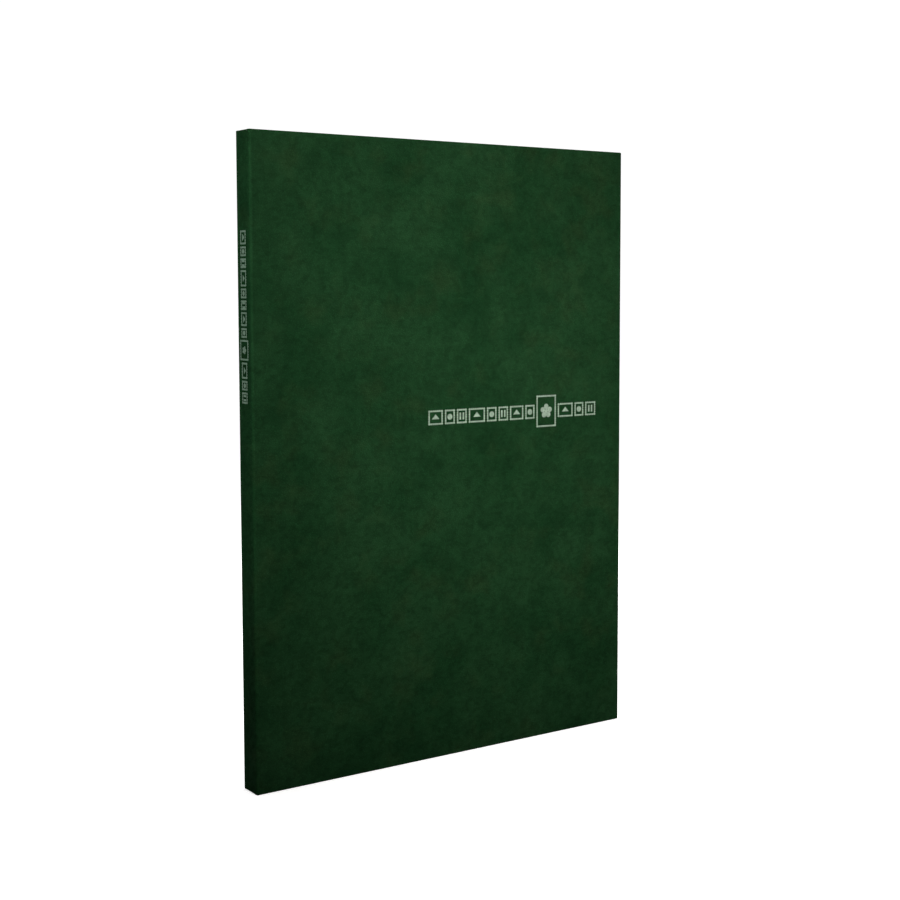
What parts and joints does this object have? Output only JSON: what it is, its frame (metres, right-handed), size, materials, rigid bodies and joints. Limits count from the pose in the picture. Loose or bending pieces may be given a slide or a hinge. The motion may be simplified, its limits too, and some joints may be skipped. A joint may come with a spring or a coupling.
{
  "type": "stamp album",
  "caption": "Hard-cover stock book for postage stamps: dark cloth case that opens on a flat spine, black card leaves with clear pocket strips, glassine interleaves and paper flyleaves.",
  "frame": {"origin": "middle of the tail edge that the closed album stands on, at the bottom of its box", "axes": "+Z from tail to head, +X from the spine to the fore-edge, -Y out of the front cover"},
  "size_m": [0.187, 0.012, 0.263],
  "materials": {
    "cover_cloth": "dark green embossed leatherette, matt",
    "foil": "silver-green hot foil, satin",
    "board": "grey binder's board",
    "endpaper": "uncoated off-white paper",
    "lining": "starched cotton mull",
    "glue": "hot-melt glue",
    "page_card": "black card, matt",
    "pocket_film": "clear film, gloss",
    "linen": "black book linen",
    "glassine": "translucent glassine"
  },
  "bodies": {
    "spine": {"spine_board": "board", "spine_cloth": "cover_cloth", "spine_ornament": "foil", "spine_lining": "lining", "front_joint_cloth": "cover_cloth", "back_joint_cloth": "cover_cloth", "front_endpaper_joint": "endpaper", "back_endpaper_joint": "endpaper", "binding_glue": "glue", "leaf_stubs": "page_card", "interleaf_stubs": "glassine", "flyleaf_stubs": "endpaper", "leaf_1_guard": "linen", "leaf_2_guard": "linen", "leaf_3_guard": "linen", "leaf_4_guard": "linen", "leaf_5_guard": "linen", "leaf_6_guard": "linen", "leaf_7_guard": "linen", "leaf_8_guard": "linen"},
    "front_cover": {"front_board": "board", "front_cover_cloth": "cover_cloth", "front_pastedown": "endpaper", "front_ornament": "foil"},
    "back_cover": {"back_board": "board", "back_cover_cloth": "cover_cloth", "back_pastedown": "endpaper"},
    "leaf_1": {"leaf_1_card": "page_card", "leaf_1_pockets": "pocket_film"},
    "leaf_2": {"leaf_2_card": "page_card", "leaf_2_pockets": "pocket_film"},
    "leaf_3": {"leaf_3_card": "page_card", "leaf_3_pockets": "pocket_film"},
    "leaf_4": {"leaf_4_card": "page_card", "leaf_4_pockets": "pocket_film"},
    "leaf_5": {"leaf_5_card": "page_card", "leaf_5_pockets": "pocket_film"},
    "leaf_6": {"leaf_6_card": "page_card", "leaf_6_pockets": "pocket_film"},
    "leaf_7": {"leaf_7_card": "page_card", "leaf_7_pockets": "pocket_film"},
    "leaf_8": {"leaf_8_card": "page_card", "leaf_8_pockets": "pocket_film"},
    "interleaf_1_sheet": {"interleaf_1": "glassine"},
    "interleaf_2_sheet": {"interleaf_2": "glassine"},
    "interleaf_3_sheet": {"interleaf_3": "glassine"},
    "interleaf_4_sheet": {"interleaf_4": "glassine"},
    "interleaf_5_sheet": {"interleaf_5": "glassine"},
    "interleaf_6_sheet": {"interleaf_6": "glassine"},
    "interleaf_7_sheet": {"interleaf_7": "glassine"},
    "front_flyleaf_sheet": {"front_flyleaf": "endpaper"},
    "back_flyleaf_sheet": {"back_flyleaf": "endpaper"}
  },
  "joints": [
    {"name": "front_cover_open", "type": "hinge", "parent": "spine", "child": "front_cover", "pos_m": [-0.0925, -0.005, 0.1315], "axis": [0, 0, -1], "range_deg": [0, 178], "deforming": ["front_joint_cloth", "front_endpaper_joint"]},
    {"name": "back_cover_open", "type": "hinge", "parent": "spine", "child": "back_cover", "pos_m": [-0.0925, 0.005, 0.1315], "axis": [0, 0, 1], "range_deg": [0, 178], "deforming": ["back_joint_cloth", "back_endpaper_joint"]},
    {"name": "front_flyleaf_turn", "type": "hinge", "parent": "spine", "child": "front_flyleaf_sheet", "pos_m": [-0.0851, -0.00329, 0.1315], "axis": [0, 0, -1], "range_deg": [0, 142.4]},
    {"name": "leaf_1_turn", "type": "hinge", "parent": "spine", "child": "leaf_1", "pos_m": [-0.08374, -0.00285, 0.1315], "axis": [0, 0, -1], "range_deg": [0, 124.6], "deforming": ["leaf_1_guard"]},
    {"name": "interleaf_1_turn", "type": "hinge", "parent": "spine", "child": "interleaf_1_sheet", "pos_m": [-0.0829, -0.00244, 0.1315], "axis": [0, 0, -1], "range_deg": [0, 106.8]},
    {"name": "leaf_2_turn", "type": "hinge", "parent": "spine", "child": "leaf_2", "pos_m": [-0.08231, -0.00204, 0.1315], "axis": [0, 0, -1], "range_deg": [0, 89], "deforming": ["leaf_2_guard"]},
    {"name": "interleaf_2_turn", "type": "hinge", "parent": "spine", "child": "interleaf_2_sheet", "pos_m": [-0.08186, -0.00163, 0.1315], "axis": [0, 0, -1], "range_deg": [0, 71.2]},
    {"name": "leaf_3_turn", "type": "hinge", "parent": "spine", "child": "leaf_3", "pos_m": [-0.08152, -0.00122, 0.1315], "axis": [0, 0, -1], "range_deg": [0, 53.4], "deforming": ["leaf_3_guard"]},
    {"name": "interleaf_3_turn", "type": "hinge", "parent": "spine", "child": "interleaf_3_sheet", "pos_m": [-0.08126, -0.00081, 0.1315], "axis": [0, 0, -1], "range_deg": [0, 35.6]},
    {"name": "leaf_4_turn", "type": "hinge", "parent": "spine", "child": "leaf_4", "pos_m": [-0.08105, -0.00041, 0.1315], "axis": [0, 0, -1], "range_deg": [0, 21.36], "deforming": ["leaf_4_guard"]},
    {"name": "interleaf_4_turn", "type": "hinge", "parent": "spine", "child": "interleaf_4_sheet", "pos_m": [-0.08083, 0, 0.1315], "axis": [0, 0, -1], "range_deg": [0, 8.9]},
    {"name": "leaf_5_turn", "type": "hinge", "parent": "spine", "child": "leaf_5", "pos_m": [-0.08105, 0.00041, 0.1315], "axis": [0, 0, 1], "range_deg": [0, 21.36], "deforming": ["leaf_5_guard"]},
    {"name": "interleaf_5_turn", "type": "hinge", "parent": "spine", "child": "interleaf_5_sheet", "pos_m": [-0.08126, 0.00081, 0.1315], "axis": [0, 0, 1], "range_deg": [0, 35.6]},
    {"name": "leaf_6_turn", "type": "hinge", "parent": "spine", "child": "leaf_6", "pos_m": [-0.08152, 0.00122, 0.1315], "axis": [0, 0, 1], "range_deg": [0, 53.4], "deforming": ["leaf_6_guard"]},
    {"name": "interleaf_6_turn", "type": "hinge", "parent": "spine", "child": "interleaf_6_sheet", "pos_m": [-0.08186, 0.00163, 0.1315], "axis": [0, 0, 1], "range_deg": [0, 71.2]},
    {"name": "leaf_7_turn", "type": "hinge", "parent": "spine", "child": "leaf_7", "pos_m": [-0.08231, 0.00204, 0.1315], "axis": [0, 0, 1], "range_deg": [0, 89], "deforming": ["leaf_7_guard"]},
    {"name": "interleaf_7_turn", "type": "hinge", "parent": "spine", "child": "interleaf_7_sheet", "pos_m": [-0.0829, 0.00244, 0.1315], "axis": [0, 0, 1], "range_deg": [0, 106.8]},
    {"name": "leaf_8_turn", "type": "hinge", "parent": "spine", "child": "leaf_8", "pos_m": [-0.08374, 0.00285, 0.1315], "axis": [0, 0, 1], "range_deg": [0, 124.6], "deforming": ["leaf_8_guard"]},
    {"name": "back_flyleaf_turn", "type": "hinge", "parent": "spine", "child": "back_flyleaf_sheet", "pos_m": [-0.0851, 0.00329, 0.1315], "axis": [0, 0, 1], "range_deg": [0, 142.4]}
  ],
  "couplings": [
    {"joint": "front_flyleaf_turn", "follows": "front_cover_open", "ratio": 0.8},
    {"joint": "leaf_1_turn", "follows": "front_cover_open", "ratio": 0.7},
    {"joint": "interleaf_1_turn", "follows": "front_cover_open", "ratio": 0.6},
    {"joint": "leaf_2_turn", "follows": "front_cover_open", "ratio": 0.5},
    {"joint": "interleaf_2_turn", "follows": "front_cover_open", "ratio": 0.4},
    {"joint": "leaf_3_turn", "follows": "front_cover_open", "ratio": 0.3},
    {"joint": "interleaf_3_turn", "follows": "front_cover_open", "ratio": 0.2},
    {"joint": "leaf_4_turn", "follows": "front_cover_open", "ratio": 0.12},
    {"joint": "interleaf_4_turn", "follows": "front_cover_open", "ratio": 0.05},
    {"joint": "leaf_5_turn", "follows": "back_cover_open", "ratio": 0.12},
    {"joint": "interleaf_5_turn", "follows": "back_cover_open", "ratio": 0.2},
    {"joint": "leaf_6_turn", "follows": "back_cover_open", "ratio": 0.3},
    {"joint": "interleaf_6_turn", "follows": "back_cover_open", "ratio": 0.4},
    {"joint": "leaf_7_turn", "follows": "back_cover_open", "ratio": 0.5},
    {"joint": "interleaf_7_turn", "follows": "back_cover_open", "ratio": 0.6},
    {"joint": "leaf_8_turn", "follows": "back_cover_open", "ratio": 0.7},
    {"joint": "back_flyleaf_turn", "follows": "back_cover_open", "ratio": 0.8}
  ]
}
